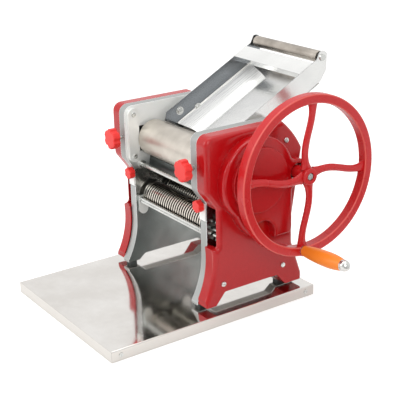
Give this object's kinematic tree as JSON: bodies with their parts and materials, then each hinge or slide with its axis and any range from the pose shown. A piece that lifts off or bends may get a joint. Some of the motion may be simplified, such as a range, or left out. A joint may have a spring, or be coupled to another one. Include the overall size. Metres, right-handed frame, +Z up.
{
  "type": "pasta machine",
  "caption": "Hand cranked pasta machine on a sheet-steel board: geared press rollers, ring cutters, steel chute and red spoked handwheel.",
  "frame": {"origin": "centre of the board's underside", "axes": "+X along the rollers towards the handwheel, +Y to the back under the chute, +Z up"},
  "size_m": [0.3615, 0.3908, 0.3175],
  "materials": {
    "sheet_steel": "polished",
    "board_core": "raw board",
    "bright_steel": "bright zinc",
    "frame_metal": "satin",
    "red_paint": "gloss",
    "red_plastic": "gloss",
    "orange_plastic": "gloss",
    "rubber": "matt",
    "roller_steel": "ground",
    "dark_steel": "dark",
    "gear_steel": "oiled",
    "bush_brass": "turned"
  },
  "bodies": {
    "stand": {"base_skin": "sheet_steel", "base_core": "board_core", "base_edge_screws": "bright_steel", "foot_pads": "rubber", "foot_bolts": "bright_steel", "frame_left": "frame_metal", "frame_right": "frame_metal", "cover_left": "red_paint", "cover_right": "red_paint", "cover_posts": "bright_steel", "cover_screws": "bright_steel", "keeper_left": "bright_steel", "keeper_right": "bright_steel", "keeper_screws": "bright_steel", "roller_bushes": "bush_brass", "cutter_bushes": "bush_brass", "wheel_shaft_bush": "bush_brass", "idler_stud": "bright_steel", "guide_plate": "dark_steel", "rear_guide_plate": "dark_steel", "front_tie_rod": "bright_steel", "rear_tie_rod": "bright_steel", "tie_rod_nuts": "bright_steel", "tie_rod_collars": "bright_steel", "comb_front": "bright_steel", "comb_rear": "bright_steel", "comb_brackets": "bright_steel", "clip_plates": "bright_steel", "chute": "sheet_steel", "bridge_plate": "sheet_steel", "chute_spacers": "bright_steel", "chute_screws": "bright_steel", "end_roller_pin": "bright_steel"},
    "crank": {"handwheel": "red_paint", "wheel_shaft": "bright_steel", "pinion": "gear_steel", "wheel_sleeve": "bright_steel", "wheel_nut": "bright_steel", "handle_spindle": "bright_steel"},
    "grip": {"handle_grip": "orange_plastic", "handle_cap": "bright_steel"},
    "rear_press": {"rear_roller": "roller_steel", "reduction_gear": "gear_steel", "roller_drive_gear": "gear_steel", "rear_pair_gear": "gear_steel"},
    "carriage": {"bearing_blocks": "dark_steel"},
    "front_press": {"front_roller": "roller_steel", "front_pair_gear": "gear_steel"},
    "adjuster_left": {"adjust_knob_left": "red_plastic", "adjust_screw_left": "bright_steel"},
    "adjuster_right": {"adjust_knob_right": "red_plastic", "adjust_screw_right": "bright_steel"},
    "clamp_left": {"clamp_knob_left": "red_plastic"},
    "clamp_right": {"clamp_knob_right": "red_plastic"},
    "idler": {"idler_gear": "gear_steel"},
    "rear_cut": {"rear_cutter": "roller_steel", "rear_cutter_gear": "gear_steel"},
    "front_cut": {"front_cutter": "roller_steel", "front_cutter_gear": "gear_steel"},
    "end_run": {"end_roller": "roller_steel"}
  },
  "joints": [
    {"name": "handwheel_turn", "type": "hinge", "parent": "stand", "child": "crank", "pos_m": [0.1, 0.12729, 0.18128], "axis": [1, 0, 0], "continuous": true},
    {"name": "grip_spin", "type": "hinge", "parent": "crank", "child": "grip", "pos_m": [0.1505, 0.11768, 0.08325], "axis": [0.9976, 0, 0.0698], "continuous": true},
    {"name": "rear_roller_turn", "type": "hinge", "parent": "stand", "child": "rear_press", "pos_m": [0, 0.08332, 0.17958], "axis": [1, 0, 0], "continuous": true},
    {"name": "gap_adjust", "type": "slide", "parent": "stand", "child": "carriage", "axis": [0, -1, 0], "range_m": [0, 0.0025]},
    {"name": "front_roller_turn", "type": "hinge", "parent": "carriage", "child": "front_press", "pos_m": [0, 0.0365, 0.1985], "axis": [1, 0, 0], "continuous": true},
    {"name": "adjust_knob_left_turn", "type": "hinge", "parent": "carriage", "child": "adjuster_left", "pos_m": [-0.0858, -0.017, 0.2038], "axis": [0, -1, 0], "range_deg": [0, 900.2]},
    {"name": "adjust_knob_right_turn", "type": "hinge", "parent": "carriage", "child": "adjuster_right", "pos_m": [0.0858, -0.017, 0.2038], "axis": [0, -1, 0], "range_deg": [0, 900.2]},
    {"name": "clamp_knob_left_turn", "type": "hinge", "parent": "stand", "child": "clamp_left", "pos_m": [-0.0825, 0.005, 0.151], "axis": [0, -1, 0], "range_deg": [-360, 360]},
    {"name": "clamp_knob_right_turn", "type": "hinge", "parent": "stand", "child": "clamp_right", "pos_m": [0.0825, 0.005, 0.151], "axis": [0, -1, 0], "range_deg": [-360, 360]},
    {"name": "idler_turn", "type": "hinge", "parent": "stand", "child": "idler", "pos_m": [0.1, 0.0996, 0.1377], "axis": [1, 0, 0], "continuous": true},
    {"name": "rear_cutter_turn", "type": "hinge", "parent": "stand", "child": "rear_cut", "pos_m": [0, 0.069, 0.116], "axis": [1, 0, 0], "continuous": true},
    {"name": "front_cutter_turn", "type": "hinge", "parent": "stand", "child": "front_cut", "pos_m": [0, 0.034, 0.116], "axis": [1, 0, 0], "continuous": true},
    {"name": "end_roller_spin", "type": "hinge", "parent": "stand", "child": "end_run", "pos_m": [0, 0.21194, 0.30852], "axis": [1, 0, 0], "continuous": true}
  ],
  "couplings": [
    {"joint": "rear_roller_turn", "follows": "handwheel_turn", "ratio": -0.25714},
    {"joint": "front_roller_turn", "follows": "handwheel_turn", "ratio": 0.25714},
    {"joint": "idler_turn", "follows": "handwheel_turn", "ratio": 0.32143},
    {"joint": "rear_cutter_turn", "follows": "handwheel_turn", "ratio": -0.36735},
    {"joint": "front_cutter_turn", "follows": "handwheel_turn", "ratio": 0.36735},
    {"joint": "adjust_knob_left_turn", "follows": "gap_adjust", "rad_per_m": 6283.2},
    {"joint": "adjust_knob_right_turn", "follows": "gap_adjust", "rad_per_m": 6283.2}
  ]
}
